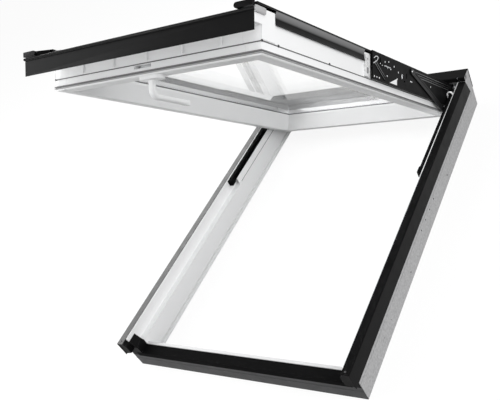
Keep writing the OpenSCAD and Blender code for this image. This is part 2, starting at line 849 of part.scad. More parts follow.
// A point on the skirt's hollow curve, at a depth below its outer face
function skirt_point(t, depth) = [
    clad_x - depth - clad_hollow * sin(180 * t / clad_steps),
    clad_top - clad_lip - (clad_top - clad_lip - clad_skirt_z) * t / clad_steps];

module left_sash_cladding() { left() sash_cladding(); }
module right_sash_cladding() { sash_cladding(); }

// Cap that carries a sash cladding down to the rim: a wedge on the slope, and a bar with a round inner end
module cladding_cap() {
    bar_t = 9;
    bar_len = 46;
    bar_h = 12;
    bar_z = fold_z + rim_d / 2 + 2;
    back_y = -nose_y - rim_d + bar_t;
    tenon_len = 30;
    color(black) opened() {
        along_y(back_y - bar_t, back_y) translate([cover_x - bar_len + bar_h / 2, bar_z + bar_h / 2]) {
            circle(d = bar_h);
            translate([0, -bar_h / 2]) square([bar_len - bar_h / 2, bar_h]);
        }
        along_x(cover_x - bar_len + bar_h / 2, sash_x) polygon([
            [back_y - 1, bar_z], [back_y - 1, bar_z + bar_h], [clad_y0, clad_top], [clad_y0, sash_top],
            [clad_y0 - 1, slope_z(clad_y0 - 1) + cover_t], [back_y + bar_t / 2, bar_z]]);
        box([clad_rise_x + clad_rise_run + 2, clad_y0 - 1, sash_top],
            [clad_x - sheet - 1, clad_y0 + tenon_len, clad_top - sheet]);
    }
}

module left_cladding_cap() { left() cladding_cap(); }
module right_cladding_cap() { cladding_cap(); }

// White cover on a lower corner of the sash, with a clip tab near its top
module corner_cover() {
    wall_t = 2;
    tab_t = 5;
    tab_len = 38;
    tab_h = 13;
    tab_lead = 9;
    low = seal_z + seal_h + layer_gap;
    color(white) opened() {
        along_x(sash_x, sash_x + wall_t) polygon([
            [-nose_y, nose_low], [-nose_y + nose_lip, nose_low], [-nose_y + nose_lip, nose_z],
            [-sash_y, nose_z], [-sash_y, low], [corner_y1, low], [corner_y1, sash_top - 1],
            [clad_y0, sash_top - 1], [clad_y0, slope_z(clad_y0)], [-nose_y, fold_z]]);
        translate([sash_x + wall_t - 1, clad_y0 - tab_lead, sash_top - tab_h - 1])
            cube([tab_t, tab_len, tab_h]);
    }
}

module left_corner_cover() { left() corner_cover(); }
module right_corner_cover() { corner_cover(); }

// Block in the sash stile with the bore that turns on the pivot pin
module pivot_housing() {
    color(black) opened() difference() {
        housing_space(0);
        rod_x(sash_x - 10, sash_x + arm_gap, 0, pivot_z, pivot_pin_d + 2 * running_gap);
    }
}

module left_pivot_housing() { left() pivot_housing(); }
module right_pivot_housing() { pivot_housing(); }

// White case with an upright slot, where the way of opening is chosen
module selector_case() {
    slot_z = selector_z + (selector_h - selector_slot_h) / 2;
    color(white) opened() difference() {
        box([sash_x, selector_y - selector_w / 2, selector_z],
            [sash_x + arm_gap - 1, selector_y + selector_w / 2, selector_z + selector_h]);
        box([sash_x + selector_back, selector_y - selector_slot_w / 2, slot_z],
            [sash_x + arm_gap, selector_y + selector_slot_w / 2, slot_z + selector_slot_h]);
    }
}

// Knob that slides up and down in the selector's slot
module selector_slider() {
    z0 = selector_z + (selector_h - selector_slot_h) / 2 + slider_gap;
    color(grey) opened() box(
        [sash_x + selector_back + slider_gap, selector_y - selector_slot_w / 2 + slider_gap, z0],
        [sash_x + arm_gap - 0.5, selector_y + selector_slot_w / 2 - slider_gap, z0 + slider_h]);
}

// Rose of the handle, with a bore for the spindle
module handle_rose() {
    color(white) opened() difference() {
        translate([0, handle_y, sash_z - rose_t]) linear_extrude(rose_t) stadium(rose_len, rose_w);
        translate([0, handle_y, sash_z - rose_t - 1]) cylinder(h = rose_t + 2, d = 2 * spindle_w);
    }
}

// Lever: a neck, a quarter bend and a flat grip with a round end, pointing to the hinge
module handle_lever() {
    bend_r = 18;
    z_top = sash_z - rose_t - layer_gap;
    neck = grip_off - bend_r;
    color(white) opened() translate([0, handle_y, z_top]) difference() {
        union() {
            translate([0, 0, -neck]) linear_extrude(neck) stadium(grip_w, grip_t);
            translate([0, bend_r, -neck]) rotate([0, 90, 0]) rotate([0, 0, -90])
                rotate_extrude(angle = 90) translate([bend_r, 0]) rotate([0, 0, 90])
                    stadium(grip_w, grip_t);
            translate([0, bend_r, -grip_off]) rotate([-90, 0, 0])
                linear_extrude(grip_len - bend_r) stadium(grip_w, grip_t);
            translate([0, grip_len, -grip_off - grip_t / 2]) cylinder(h = grip_t, d = grip_w);
        }
        translate([0, grip_len, -grip_off - grip_t]) cylinder(h = 2 * grip_t, d = 6);
    }
}

// Square spindle from the lever through the rose to the lock tongue
module handle_spindle() {
    color(steel) opened() translate([-spindle_w / 2, handle_y - spindle_w / 2, sash_z - rose_t - layer_gap])
        cube([spindle_w, spindle_w, tongue_z - sash_z + rose_t + layer_gap]);
}

// Tongue on the spindle that turns into the sill's mortise
module lock_tongue() {
    color(steel) opened() translate([0, handle_y, tongue_z]) linear_extrude(tongue_h)
        translate([-(tongue_len - tongue_w / 2) / 2, 0]) stadium(tongue_len + tongue_w / 2, tongue_w);
}

frame_left_stile();
frame_right_stile();
frame_head();
frame_sill();
left_stile_cladding();
right_stile_cladding();
sill_cladding();
sill_apron();
hood();
left_corner_shoe();
right_corner_shoe();
left_channel();
right_channel();
left_hinge_cover();
right_hinge_cover();
left_hinge_bracket();
right_hinge_bracket();
hinge_pins();
strike_plate();
frame_screws();
left_arm();
right_arm();
left_arm_cladding();
right_arm_cladding();
top_cover();
arm_rivets();
pivot_pins();
left_stay();
right_stay();
left_shoe();
right_shoe();
sash_left_stile();
sash_right_stile();
sash_top_rail();
sash_bottom_rail();
inner_pane();
outer_pane();
glass_spacer();
inner_glazing_seal();
outer_glazing_bead();
sash_seal();
room_seal();
bottom_cover();
cover_clips();
left_sash_cladding();
right_sash_cladding();
left_cladding_cap();
right_cladding_cap();
left_corner_cover();
right_corner_cover();
left_pivot_housing();
right_pivot_housing();
selector_case();
selector_slider();
handle_rose();
handle_lever();
handle_spindle();
lock_tongue();
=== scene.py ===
"""Roof window: finishes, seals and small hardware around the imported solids, on a plain stage."""
import json
import math

import bpy
import numpy as np
from bpy.props import FloatProperty, FloatVectorProperty, PointerProperty
from mathutils import Matrix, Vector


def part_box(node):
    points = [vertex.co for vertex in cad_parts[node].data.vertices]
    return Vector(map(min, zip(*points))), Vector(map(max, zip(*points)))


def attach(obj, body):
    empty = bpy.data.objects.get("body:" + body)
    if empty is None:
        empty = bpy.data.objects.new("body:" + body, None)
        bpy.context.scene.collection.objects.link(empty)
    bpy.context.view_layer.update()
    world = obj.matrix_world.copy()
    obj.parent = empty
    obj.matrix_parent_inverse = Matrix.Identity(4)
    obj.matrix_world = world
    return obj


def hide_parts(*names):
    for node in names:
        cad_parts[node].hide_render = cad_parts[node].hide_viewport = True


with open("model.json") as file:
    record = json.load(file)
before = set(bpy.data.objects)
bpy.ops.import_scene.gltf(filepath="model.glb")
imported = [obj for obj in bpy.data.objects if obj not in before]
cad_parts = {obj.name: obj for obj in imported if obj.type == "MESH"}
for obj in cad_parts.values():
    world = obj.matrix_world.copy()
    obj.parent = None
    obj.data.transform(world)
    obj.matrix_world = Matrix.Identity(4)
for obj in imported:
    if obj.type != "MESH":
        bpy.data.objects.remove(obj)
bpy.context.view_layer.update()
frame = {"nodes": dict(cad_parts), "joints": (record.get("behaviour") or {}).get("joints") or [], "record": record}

bl_info = {
    "name": "Roof window",
    "version": (1, 0, 0),
    "blender": (4, 5, 0),
    "location": "View3D > Sidebar > Roof window",
    "description": "Gives a packed roof window its finishes, seals and small hardware",
    "category": "Object",
}

# The record's slots tell which nodes share a finish, and the top hinge how far the sash stands open.
slot_nodes = {}
for part in frame["record"]["subparts"]:
    slot_nodes.setdefault(part["material_slot"], []).append(part["node"])
joints = {joint["name"]: joint for joint in frame["joints"]}
HINGE = np.array(joints["top_hinge"]["pos_m"])
OPEN = math.radians(joints["top_hinge"]["range_deg"][1])
RISE, RUN = math.sin(OPEN), math.cos(OPEN)
OPEN_TURN = np.array([[1, 0, 0], [0, RUN, RISE], [0, -RISE, RUN]])
MM = 0.001
SIDES = ((1.0, "right"), (-1.0, "left"))

# Recipes that finishes share: roughness, how far colour and roughness wander, and the relief as its waves
# to the metre and its strength.
PROFILE = {"rough": 0.32, "mottle": 0.006, "rough_span": 0.03, "grain": (900.0, 0.012), "specular": 0.08}
SHEET = {"rough": 0.34, "mottle": 0.08, "rough_span": 0.05, "grain": (1500.0, 0.05)}
MOULDING = {"mottle": 0.1, "rough_span": 0.06, "grain": (1800.0, 0.1), "specular": 0.04}
GREY_MOULDING = {"rough_span": 0.05, "grain": (1500.0, 0.08)}
STEEL = {"mottle": 0.15, "rough_span": 0.08, "grain": (1100.0, 0.06)}
SMALL_STEEL = {"mottle": 0.1, "rough_span": 0.08, "grain": (700.0, 0.05)}
RUBBER = {"rough": 0.6, "mottle": 0.1, "rough_span": 0.08, "grain": (2500.0, 0.1), "specular": 0.3}

# Waves to the metre of the clouds in colour and in roughness, and the depth of the relief.
COLOUR_WAVES = 9.0
GLOSS_WAVES = 35.0
RELIEF_DEPTH = 0.4 * MM

# The frame's stiles: how deep the bare side reaches, its speckle, and the darker line along it, painted shade of a
# shallow groove.
BARE_DEPTH = 6.5 * MM
SPECKLE_WAVES = 170.0
SCORE_HEIGHT = 62 * MM
SCORE_HALF_WIDTH = 1.6 * MM
GROOVE_PAINTED_SHADE = -0.22

# Painted sheen on the sash sheets: a pale stripe in the sheets' hollow, painted in for their reflection; shares of
# the height, and how pale the sheet is there.
PAINTED_SHEEN_START = (0.42, 0.0)
PAINTED_SHEEN_FOOT = (0.55, 0.6)
PAINTED_SHEEN_STOPS = ((0.8, 1.0), (0.86, 0.9), (0.9, 0.0))
GLASS_IOR = 1.1

# Lamps: name, place, target, size and watts.
LAMPS = (("Key lamp", (2.0, -0.6, 1.0), (0.3, 0.1, 0.4), (1.2, 1.2), 19.5),
         ("Front lamp", (-2.2, -1.5, 1.1), (0, 0, 0.5), (1.2, 1.2), 38.0),
         ("Left top lamp", (-2.4, -0.4, 2.4), (0, 0, 0.3), (1.6, 1.6), 32.0),
         ("Right top lamp", (2.2, -0.2, 2.6), (0, 0, 0.3), (1.6, 1.6), 18.0),
         ("Strip lamp", (-1.5, 0.7, 1.0), (-0.39, 0.1, 0.13), (1.8, 0.4), 12.0))


# Shapes: arrays of points on a grid, and the meshes made of them.

def opened(points):
    """Points drawn with the sash closed, turned back about the hinge axis by the opening angle."""
    return (np.asarray(points, float) - HINGE) @ OPEN_TURN.T + HINGE


def vertices(node):
    """The places of a solid's vertices."""
    mesh = frame["nodes"][node].data
    points = np.empty(3 * len(mesh.vertices))
    mesh.vertices.foreach_get("co", points)
    return points.reshape(-1, 3)


def closed_box(node):
    """Lowest and highest corner of a solid of the sash, as it lies when closed."""
    points = (vertices(node) - HINGE) @ OPEN_TURN + HINGE
    return points.min(axis=0), points.max(axis=0)


def islands(node, reach):
    """Boxes of a solid's separate bits, where each bit lies within a reach of its first vertex."""
    points = vertices(node)
    boxes = []
    while len(points):
        near = np.linalg.norm(points - points[0], axis=1) < reach
        boxes.append((points[near].min(axis=0), points[near].max(axis=0)))
        points = points[~near]
    return boxes


def grid_faces(rows, columns, close_rows=False, close_columns=False):
    """Quads between neighbouring points of a grid, row by row, joined round where it closes."""
    r = np.arange(rows if close_rows else rows - 1)
    c = np.arange(columns if close_columns else columns - 1)
    r, c = (a.ravel() for a in np.meshgrid(r, c, indexing="ij"))
    r1, c1 = (r + 1) % rows, (c + 1) % columns
    return np.stack([r * columns + c, r * columns + c1, r1 * columns + c1, r1 * columns + c], axis=1)


def joined(points, faces):
    """The same surface with coinciding points made one, so that its poles and seams are closed."""
    points = np.asarray(points, float)
    keys = np.round(points / (0.0001 * MM)).astype(np.int64)
    _, first, index = np.unique(keys, axis=0, return_index=True, return_inverse=True)
    corners = [list(dict.fromkeys(face)) for face in index.ravel()[np.asarray(faces)].tolist()]
    return points[first], [face for face in corners if len(face) > 2]


def placed(name, data):
    """A new object in the scene."""
    piece = bpy.data.objects.new(name, data)
    bpy.context.scene.collection.objects.link(piece)
    return piece


def mesh_piece(name, points, faces, body, slot, material, smooth=True):
    """A new piece at the origin, with its place in its mesh, that rides on a body."""
    points, faces = joined(points, faces)
    mesh = bpy.data.meshes.new(name)
    mesh.from_pydata(points.tolist(), [], faces)
    mesh.validate()
    mesh.polygons.foreach_set("use_smooth", np.full(len(mesh.polygons), smooth))
    mesh.materials.append(material)
    mesh.update()
    piece = placed(name, mesh)
    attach(piece, body)
    return piece


def frame_sweep(profile, half_x, half_y):
    """A closed profile carried round a rectangle: each profile point (out, up) lies at the half sizes plus
    out and at height up, and the corners are mitres, with a row of points close to each for crisp
    shading."""
    out, up = np.asarray(profile, float).T
    corners = np.array([[1, 1], [-1, 1], [-1, -1], [1, -1]], float)
    t = np.array([0.0, 0.004, 0.996])[None, :, None]
    middle = (corners[:, None] * (1 - t) + np.roll(corners, -1, axis=0)[:, None] * t).reshape(-1, 2)
    x = middle[:, :1] * (half_x + out)[None]
    y = middle[:, 1:] * (half_y + out)[None]
    z = np.repeat(up[None], len(middle), axis=0)
    points = np.stack([x, y, z], axis=2).reshape(-1, 3)
    return points, grid_faces(len(middle), len(profile), True, True)[:, ::-1]


def tube(path, radius, side, round_steps=8):
    """A round bar along a path: each ring lies across the path, from the side direction round, and the
    radius falls to nothing at both ends, so that they are closed."""
    path = np.asarray(path, float)
    along = np.gradient(path, axis=0)
    along /= np.linalg.norm(along, axis=1, keepdims=True)
    side = np.broadcast_to(np.asarray(side, float), path.shape)
    across = np.cross(along, side)
    across /= np.linalg.norm(across, axis=1, keepdims=True)
    rows = np.concatenate([[0], np.arange(len(path)), [len(path) - 1]])
    swell = np.ones((len(rows), 1, 1))
    swell[[0, -1]] = 0.0
    angle = np.linspace(0, 2 * math.pi, round_steps, endpoint=False)[None, :, None]
    ring = np.cos(angle) * side[rows][:, None] + np.sin(angle) * across[rows][:, None]
    points = path[rows][:, None] + radius * swell * ring
    return points.reshape(-1, 3), grid_faces(len(rows), round_steps, False, True)


def coil(start, end, radius, wire, turns, steps=14):
    """A helix of wire from start to end: the wire's middle circles the line between them."""
    start, end = np.asarray(start, float), np.asarray(end, float)
    t = np.linspace(0, 1, turns * steps + 1)
    axis = (end - start) / np.linalg.norm(end - start)
    u = np.cross(axis, (1.0, 0.0, 0.0))
    u /= np.linalg.norm(u)
    v = np.cross(axis, u)
    turn = 2 * math.pi * turns * t
    outward = np.cos(turn)[:, None] * u + np.sin(turn)[:, None] * v
    return tube(start + t[:, None] * (end - start) + radius * outward, wire, outward, 6)


def eased(corners, rounds=3):
    """A path with its corners cut at a quarter and three quarters of each stretch, some rounds over."""
    path = np.asarray(corners, float)
    for _ in range(rounds):
        near = 0.75 * path[:-1] + 0.25 * path[1:]
        far = 0.25 * path[:-1] + 0.75 * path[1:]
        between = np.stack([near, far], axis=1).reshape(-1, path.shape[1])
        path = np.concatenate([path[:1], between, path[-1:]])
    return path


def round_box(middle, half, power=0.25, steps=32):
    """Outline of a box with round corners: the cosine and sine of the angle, each to a power below one
    with its sign kept, times the half sizes."""
    angle = np.linspace(0, 2 * math.pi, steps, endpoint=False)
    wave = np.column_stack([np.cos(angle), np.sin(angle)])
    return np.asarray(middle) + np.sign(wave) * np.abs(wave) ** power * np.asarray(half)


def pad(outline, low, high, edge, sign=1.0):
    """A plate over an outline of (Y, Z) points that runs round against the clock: it rises from X low to
    X high, and its upper rim is drawn in by an edge, towards the outline's middle."""
    outline = np.asarray(outline, float)
    middle = outline.mean(axis=0)
    reach = np.linalg.norm(outline - middle, axis=1).mean()
    shrink = np.array([0.0, 1.0, 1.0, 1.0 - 0.3 * edge / reach, 1.0 - edge / reach, 0.0])
    x = np.array([low, low, high - edge, high - 0.3 * edge, high, high])
    flat = middle + shrink[:, None, None] * (outline - middle)[None]
    points = np.concatenate([np.repeat(sign * x[:, None, None], len(outline), axis=1), flat], axis=2)
    faces = grid_faces(len(x), len(outline), False, True)
    return points.reshape(-1, 3), faces if sign > 0 else faces[:, ::-1]


def turned_head(centres, normal, across, profile, steps=24):
    """Round heads: the profile's (radius, height) pairs turned about each centre's normal."""
    radius, height = np.asarray(profile, float).T
    normal, across = np.asarray(normal, float), np.asarray(across, float)
    side = np.cross(normal, across)
    angle = np.linspace(0, 2 * math.pi, steps, endpoint=False)
    round_part = np.cos(angle)[:, None] * across + np.sin(angle)[:, None] * side
    one = radius[:, None, None] * round_part[None] + height[:, None, None] * normal
    one = one.reshape(-1, 3)
    faces = grid_faces(len(profile), steps, False, True)
    points = (np.asarray(centres, float)[:, None] + one[None]).reshape(-1, 3)
    step = np.arange(len(centres))[:, None, None] * len(one)
    return points, (faces[None] + step).reshape(-1, 4)


def side_heads(places, x, sign, profile, steps):
    """Round heads that face sideways, at (Y, Z) places on a face at a distance x to one side."""
    centres = np.column_stack([np.full(len(places), sign * x), places])
    return turned_head(centres, (sign, 0, 0), (0, sign, 0), profile, steps)


def stacked(shapes):
    """Several surfaces, each of points and faces, as one."""
    sizes = np.cumsum([0] + [len(points) for points, faces in shapes])
    return (np.concatenate([points for points, faces in shapes]),
            np.concatenate([faces + size for (points, faces), size in zip(shapes, sizes)]))


def both_sides(make):
    """A shape on the right and its like on the left, made for the signs 1 and -1, as one surface."""
    return stacked([make(sign) for sign, side in SIDES])


# Finishes: each is a Principled surface whose colour, roughness and relief come from noise.

def add(tree, kind, **values):
    """A node of a kind, with its plain settings or input values by name."""
    node = tree.nodes.new(kind)
    for name, value in values.items():
        key = name.replace("_", " ")
        if key in node.inputs:
            node.inputs[key].default_value = value
        else:
            setattr(node, name, value)
    return node


def noise(tree, where, scale, detail=3.0, stretch=(1, 1, 1)):
    """Noise in object space, in waves to the metre, longer along an axis whose stretch is small."""
    mapping = add(tree, "ShaderNodeMapping", Scale=stretch)
    texture = add(tree, "ShaderNodeTexNoise", Scale=scale, Detail=detail)
    tree.links.new(where.outputs["Object"], mapping.inputs["Vector"])
    tree.links.new(mapping.outputs["Vector"], texture.inputs["Vector"])
    return texture.outputs["Fac"]


def ranged(tree, value, low, high):
    """The middle part of a noise value spread between two numbers."""
    spread = add(tree, "ShaderNodeMapRange", From_Min=0.3, From_Max=0.7, To_Min=low, To_Max=high)
    tree.links.new(value, spread.inputs["Value"])
    return spread.outputs["Result"]


def scaled(tree, colour, value):
    """A colour times a value that varies over the surface."""
    tint = add(tree, "ShaderNodeVectorMath", operation="SCALE")
    tint.inputs[0].default_value = colour[:3]
    tree.links.new(value, tint.inputs["Scale"])
    return tint.outputs["Vector"]


def beyond_side(tree, where, outer_x):
    """One where a point lies further from the middle than a distance across, and nothing elsewhere."""
    split = add(tree, "ShaderNodeSeparateXYZ")
    size = add(tree, "ShaderNodeMath", operation="ABSOLUTE")
    beyond = add(tree, "ShaderNodeMath", operation="GREATER_THAN")
    beyond.inputs[1].default_value = outer_x
    tree.links.new(where.outputs["Object"], split.inputs["Vector"])
    tree.links.new(split.outputs["X"], size.inputs[0])
    tree.links.new(size.outputs["Value"], beyond.inputs[0])
    return beyond.outputs["Value"]


def seen_rays(tree):
    """One for the rays that show the surroundings: the camera's, those of gloss and those through glass."""
    path = add(tree, "ShaderNodeLightPath")
    value = path.outputs["Is Camera Ray"]
    for ray in ("Is Glossy Ray", "Is Transmission Ray"):
        either = add(tree, "ShaderNodeMath", operation="MAXIMUM")
        tree.links.new(value, either.inputs[0])
        tree.links.new(path.outputs[ray], either.inputs[1])
        value = either.outputs["Value"]
    return value


def new_surface(name):
    """A new material, its node tree and its Principled surface."""
    material = bpy.data.materials.new(name)
    material.use_nodes = True
    return material, material.node_tree, material.node_tree.nodes["Principled BSDF"]


def finish(name, colour, rough, mottle, rough_span, grain, stretch=(1, 1, 1), metallic=0.0, specular=0.5):
    """A surface with mottled colour, uneven gloss and a fine relief."""
    material, tree, surface = new_surface(name)
    where = add(tree, "ShaderNodeTexCoord")
    shade = ranged(tree, noise(tree, where, COLOUR_WAVES, 4.0, stretch), 1 - mottle, 1 + mottle)
    tree.links.new(scaled(tree, colour, shade), surface.inputs["Base Color"])
    cloud = noise(tree, where, GLOSS_WAVES, 4.0, stretch)
    gloss = ranged(tree, cloud, rough - rough_span, rough + rough_span)
    tree.links.new(gloss, surface.inputs["Roughness"])
    waves, strength = grain
    relief = add(tree, "ShaderNodeBump", Strength=strength, Distance=RELIEF_DEPTH)
    tree.links.new(noise(tree, where, waves, 2.0, stretch), relief.inputs["Height"])
    tree.links.new(relief.outputs["Normal"], surface.inputs["Normal"])
    surface.inputs["Metallic"].default_value = metallic
    surface.inputs["Specular IOR Level"].default_value = specular
    return material


def stile_finish(name, colour, outer_colour, outer_x):
    """White profile whose outer side, beyond a distance from the middle, is bare speckled grey with a
    darker line along it, painted shade of a shallow groove."""
    material = finish(name, colour, **PROFILE | {"rough": 0.3})
    tree = material.node_tree
    surface = tree.nodes["Principled BSDF"]
    white = surface.inputs["Base Color"].links[0].from_socket
    where = add(tree, "ShaderNodeTexCoord")
    split = add(tree, "ShaderNodeSeparateXYZ")
    speckle = ranged(tree, noise(tree, where, SPECKLE_WAVES, 5.0), 0.8, 1.14)
    # Painted shade: a darker line at one height along the bare side, for a shallow groove.
    groove_shade_line = add(tree, "ShaderNodeMath", operation="COMPARE")
    groove_shade_line.inputs[1].default_value = SCORE_HEIGHT
    groove_shade_line.inputs[2].default_value = SCORE_HALF_WIDTH
    shaded = add(tree, "ShaderNodeMath", operation="MULTIPLY_ADD")
    shaded.inputs[1].default_value = GROOVE_PAINTED_SHADE
    both = add(tree, "ShaderNodeMix", data_type="RGBA")
    tree.links.new(where.outputs["Object"], split.inputs["Vector"])
    tree.links.new(split.outputs["Z"], groove_shade_line.inputs[0])
    tree.links.new(groove_shade_line.outputs["Value"], shaded.inputs[0])
    tree.links.new(speckle, shaded.inputs[2])
    tree.links.new(beyond_side(tree, where, outer_x), both.inputs["Factor"])
    tree.links.new(white, both.inputs["A"])
    tree.links.new(scaled(tree, outer_colour, shaded.outputs["Value"]), both.inputs["B"])
    tree.links.new(both.outputs["Result"], surface.inputs["Base Color"])
    return material


def painted_sheen_finish(name, colour, painted_sheen_colour, low, high, outer_x):
    """Black coat with painted sheen: a paler stripe painted in for the sheet's reflection. Between two heights
    over the closed roof the colour goes from dark to pale, and the last part, the folded edge, is dark again. It
    lies only beyond a distance from the middle."""
    material = finish(name, colour, **SHEET, specular=0.035)
    tree = material.node_tree
    surface = tree.nodes["Principled BSDF"]
    dark = surface.inputs["Base Color"].links[0].from_socket
    where = add(tree, "ShaderNodeTexCoord")
    height = add(tree, "ShaderNodeVectorMath", operation="DOT_PRODUCT")
    height.inputs[1].default_value = (0.0, RISE, RUN)
    base = HINGE[2] - RISE * HINGE[1] - RUN * HINGE[2]
    share = add(tree, "ShaderNodeMapRange", From_Min=low - base, From_Max=high - base)
    ramp = add(tree, "ShaderNodeValToRGB")
    stops = ramp.color_ramp.elements
    for stop, (position, value) in zip(stops, (PAINTED_SHEEN_START, PAINTED_SHEEN_FOOT)):
        stop.position, stop.color = position, (value, value, value, 1)
    for position, value in PAINTED_SHEEN_STOPS:
        stops.new(position).color = (value, value, value, 1)
    both = add(tree, "ShaderNodeMix", data_type="RGBA")
    both.inputs["B"].default_value = (*painted_sheen_colour, 1)
    within = add(tree, "ShaderNodeMath", operation="MULTIPLY")
    tree.links.new(where.outputs["Object"], height.inputs[0])
    tree.links.new(height.outputs["Value"], share.inputs["Value"])
    tree.links.new(share.outputs["Result"], ramp.inputs["Fac"])
    tree.links.new(ramp.outputs["Color"], within.inputs[0])
    tree.links.new(beyond_side(tree, where, outer_x), within.inputs[1])
    tree.links.new(within.outputs["Value"], both.inputs["Factor"])
    tree.links.new(dark, both.inputs["A"])
    tree.links.new(both.outputs["Result"], surface.inputs["Base Color"])
    return material


def pane_finish(name, colour):
    """Clear glass that lets lamplight straight through."""
    material, tree, surface = new_surface(name)
    surface.inputs["Base Color"].default_value = (*colour, 1)
    surface.inputs["Roughness"].default_value = 0.0
    surface.inputs["IOR"].default_value = GLASS_IOR
    surface.inputs["Transmission Weight"].default_value = 1.0
    clear = add(tree, "ShaderNodeBsdfTransparent")
    clear.inputs["Color"].default_value = (*colour, 1)
    path = add(tree, "ShaderNodeLightPath")
    both = add(tree, "ShaderNodeMixShader")
    tree.links.new(path.outputs["Is Shadow Ray"], both.inputs["Fac"])
    tree.links.new(surface.outputs["BSDF"], both.inputs[1])
    tree.links.new(clear.outputs["BSDF"], both.inputs[2])
    tree.links.new(both.outputs["Shader"], tree.nodes["Material Output"].inputs["Surface"])
    return material


def toned(colour, share):
    """A colour made darker or paler by a share."""
    return [share * v for v in colour]


def dress(node, material, edge=0.0):
    """Give a solid its finish, and round its edges with a small bevel."""
    solid = frame["nodes"][node]
    solid.data.materials.clear()
    solid.data.materials.append(material)
    if edge:
        weld = solid.modifiers.new("Joined faces", "WELD")
        weld.merge_threshold = 0.02 * MM
        bevel = solid.modifiers.new("Soft edges", "BEVEL")
        bevel.width = edge
        bevel.segments = 2
        bevel.limit_method = "ANGLE"
        bevel.angle_limit = math.radians(35)


def change_finish(material, *nodes):
    """Give dressed solids another finish than the rest of their slot."""
    for node in nodes:
        frame["nodes"][node].data.materials[0] = material


# Settings that a user would change.

def colour_setting(name, description, default):
    """A colour with its name, description and default."""
    return FloatVectorProperty(name=name, description=description, subtype="COLOR", size=3, min=0, max=1,
                               default=default)


class WindowFinish(bpy.types.PropertyGroup):
    """Colours and edges of the window."""
    white: colour_setting("White profile", "Colour of the plastic profiles", (0.87, 0.874, 0.878))
    bare: colour_setting("Bare side", "Colour of the frame's outer sides", (0.45, 0.45, 0.455))
    coat: colour_setting("Black coat", "Colour of the folded sheets", (0.006, 0.006, 0.0062))
    # Painted sheen: a paler stripe painted on the sash sheets for their reflection.
    painted_sheen: colour_setting("Painted sheen", "Colour of the sash sheets' hollow", (0.23, 0.23, 0.232))
    moulding: colour_setting("Black moulding", "Colour of the black plastic pieces", (0.005, 0.005, 0.0052))
    grey_moulding: colour_setting("Grey moulding", "Colour of the grey plastic pieces", (0.2, 0.2, 0.205))
    tab: colour_setting("Corner tab", "Colour of the tabs at the sash's corners", (0.42, 0.42, 0.425))
    steel_black: colour_setting("Black steel", "Colour of the arms and channels", (0.006, 0.006, 0.0062))
    stay: colour_setting("Stay", "Colour of the stays", (0.012, 0.012, 0.0125))
    zinc: colour_setting("Zinc", "Colour of the plated steel", (0.62, 0.63, 0.64))
    spacer: colour_setting("Spacer", "Colour of the spacer between the panes", (0.7, 0.7, 0.71))
    apron: colour_setting("Apron", "Colour of the plate in front of the sill", (0.055, 0.055, 0.057))
    seal: colour_setting("Seal", "Colour of the thin seals", (0.1, 0.1, 0.102))
    room_seal: colour_setting("Room seal", "Colour of the broad seal on the room side", (0.19, 0.19, 0.193))
    fin: colour_setting("Seal fin", "Colour of the lower half of the room seal", (0.4, 0.4, 0.405))
    glass: colour_setting("Glass", "Tint of the panes", (0.985, 0.988, 0.988))
    edge: FloatProperty(name="Edge", description="Rounding of the profiles' edges", subtype="DISTANCE",
                        unit="LENGTH", default=0.8 * MM)
    fold: FloatProperty(name="Fold", description="Rounding of the sheets' edges", subtype="DISTANCE",
                        unit="LENGTH", default=0.5 * MM)


class WindowStage(bpy.types.PropertyGroup):
    """Camera, floor and sky."""
    camera_place: FloatVectorProperty(name="Camera", description="Place of the camera", unit="LENGTH",
                                      subtype="TRANSLATION", size=3, default=(1.14915, -1.33957, 1.38197))
    camera_right: FloatVectorProperty(name="Right", description="Direction to the right in the picture",
                                      subtype="DIRECTION", size=3, default=(0.819465, 0.398479, -0.411936))
    camera_up: FloatVectorProperty(name="Up", description="Upward direction in the picture",
                                   subtype="DIRECTION", size=3, default=(-0.005162, 0.723852, 0.689936))
    lens: FloatProperty(name="Lens", description="Focal length for a 36 mm sensor", unit="CAMERA",
                        default=49.116)
    shift_x: FloatProperty(name="Shift X", description="Sideways shift of the picture", default=-0.0381)
    shift_y: FloatProperty(name="Shift Y", description="Upward shift of the picture", default=0.06769)
    sky: FloatProperty(name="Sky", description="Brightness of the light all round", min=0, default=0.59)
    floor_glow: FloatProperty(name="Floor glow", min=0, default=0.89,
                              description="Brightness added to the floor where it is seen")


def finishes():
    """The scene's colours and edges."""
    return bpy.context.scene.window_finish


# Operators: one for each group of like pieces, and one for the stage.

class DressOperator:
    """Shared part of the operators that dress solids."""
    bl_options = {"REGISTER", "UNDO"}

    def dress_slot(self, slot, material, edge):
        """Dress every node of a material slot."""
        for node in slot_nodes[slot]:
            dress(node, material, edge)


class WINDOW_OT_profiles(DressOperator, bpy.types.Operator):
    """White profiles of the frame and the sash"""
    bl_idname = "window.profiles"
    bl_label = "Dress profiles"

    def execute(self, context):
        f = finishes()
        white = finish("White profile", f.white, **PROFILE)
        self.dress_slot("white_pvc", white, f.edge)
        # Painted shade: the sill and the sash's top rail get darker copies of the white, which stand in for less
        # light on them.
        for node, shade in (("frame_sill", 0.72), ("sash_top_rail", 0.88)):
            change_finish(finish("White rail with painted shade " + node, toned(f.white, shade), **PROFILE), node)
        outer_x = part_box("frame_right_stile")[1].x - BARE_DEPTH
        stile = stile_finish("White stile with bare side", f.white, f.bare, outer_x)
        change_finish(stile, "frame_left_stile", "frame_right_stile")
        self.cover_faces(white)
        return {"FINISHED"}

    def cover_faces(self, material):
        """White plates in front of the channels, below the studs of the shoes: an outline along the stile,
        raised across it, with a drawn-in rim."""
        low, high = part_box("right_hinge_cover")
        near, far = low.y + 2 * MM, high.y - 2 * MM
        foot, top = low.z + 2 * MM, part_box("right_channel")[0].z + 6 * MM
        outline = [(near, foot), (far, foot), (far, top), (near, top)]
        inner = low.x + 1.2 * MM
        plates = both_sides(lambda sign: pad(outline, inner, inner + 2.4 * MM, 0.3 * MM, sign))
        mesh_piece("hinge_cover_faces", *plates, "frame", "white_pvc", material, smooth=False)


